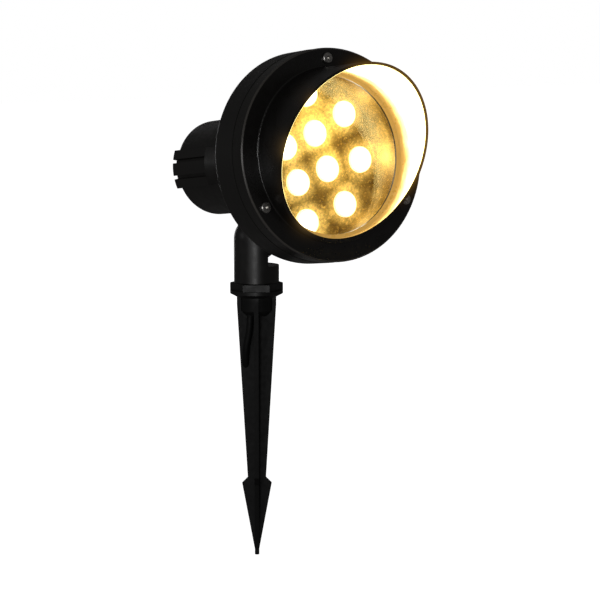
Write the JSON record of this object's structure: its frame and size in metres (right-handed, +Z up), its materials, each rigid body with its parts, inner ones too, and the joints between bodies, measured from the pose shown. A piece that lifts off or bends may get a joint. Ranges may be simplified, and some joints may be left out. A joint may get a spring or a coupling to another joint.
{
  "type": "garden spike spotlight",
  "caption": "Round LED garden spotlight with a slanted glare hood, on a tilting ball-ended knuckle that screws into a barbed ground spike.",
  "frame": {"origin": "on the spike's axis at the soil line, where the blades meet the collar", "axes": "+Z up along the spike; the head shines towards -Y, tilted up 7 degrees at rest; +X to the viewer's right of the lamp face"},
  "size_m": [0.1605, 0.2201, 0.4043],
  "materials": {
    "housing_paint": "satin black powder coat",
    "ring_paint": "satin black powder coat, cream white inside the hood",
    "spike_plastic": "moulded, finely grained",
    "post_paint": "satin black powder coat",
    "stainless": "bright stainless",
    "zinc_steel": "zinc plated",
    "glass": "clear tempered",
    "reflector": "gold anodised, finely hammered",
    "lens": "clear acrylic, lit",
    "led": "phosphor, lit",
    "board": "white solder mask on an aluminium core",
    "driver_case": "moulded case, potted",
    "terminal_plastic": "moulded",
    "brass": "bright",
    "copper": "bare strands",
    "lead_rubber": "matt black sheath",
    "seal_rubber": "matt",
    "silicone": "translucent silicone",
    "core_insulation": "brown, blue and green-yellow insulation",
    "wire_insulation": "insulated hook-up wire"
  },
  "bodies": {
    "spike": {"ground_spike": "spike_plastic", "supply_lead": "lead_rubber", "lead_cores": "core_insulation", "lead_strands": "copper"},
    "post": {"knuckle_post": "post_paint", "threaded_nipple": "zinc_steel", "post_seal": "seal_rubber", "knuckle_seal": "seal_rubber", "pivot_screw": "stainless", "pivot_washer": "stainless", "spring_washer": "stainless", "lead_in_post": "lead_rubber"},
    "head": {"head_housing": "housing_paint", "front_ring": "ring_paint", "ring_screws": "stainless", "ring_gasket": "silicone", "front_glass": "glass", "glass_gasket": "silicone", "reflector_tray": "reflector", "led_lenses": "lens", "led_chips": "led", "led_board": "board", "tray_screws": "zinc_steel", "board_screws": "zinc_steel", "led_driver": "driver_case", "driver_screws": "zinc_steel", "terminal_block": "terminal_plastic", "terminal_screws": "brass", "earth_screw": "zinc_steel", "earth_tag": "brass", "lead_grommet": "seal_rubber", "lead_in_head": "lead_rubber", "inner_cores": "core_insulation", "board_wires": "wire_insulation", "driver_wires": "wire_insulation"}
  },
  "joints": [
    {"name": "head_pan", "type": "hinge", "parent": "spike", "child": "post", "pos_m": [0, 0, 0.0114], "axis": [0, 0, 1], "range_deg": [-175, 175]},
    {"name": "head_tilt", "type": "hinge", "parent": "post", "child": "head", "pos_m": [0, 0, 0.046], "axis": [-1, 0, 0], "range_deg": [-55, 80]}
  ]
}
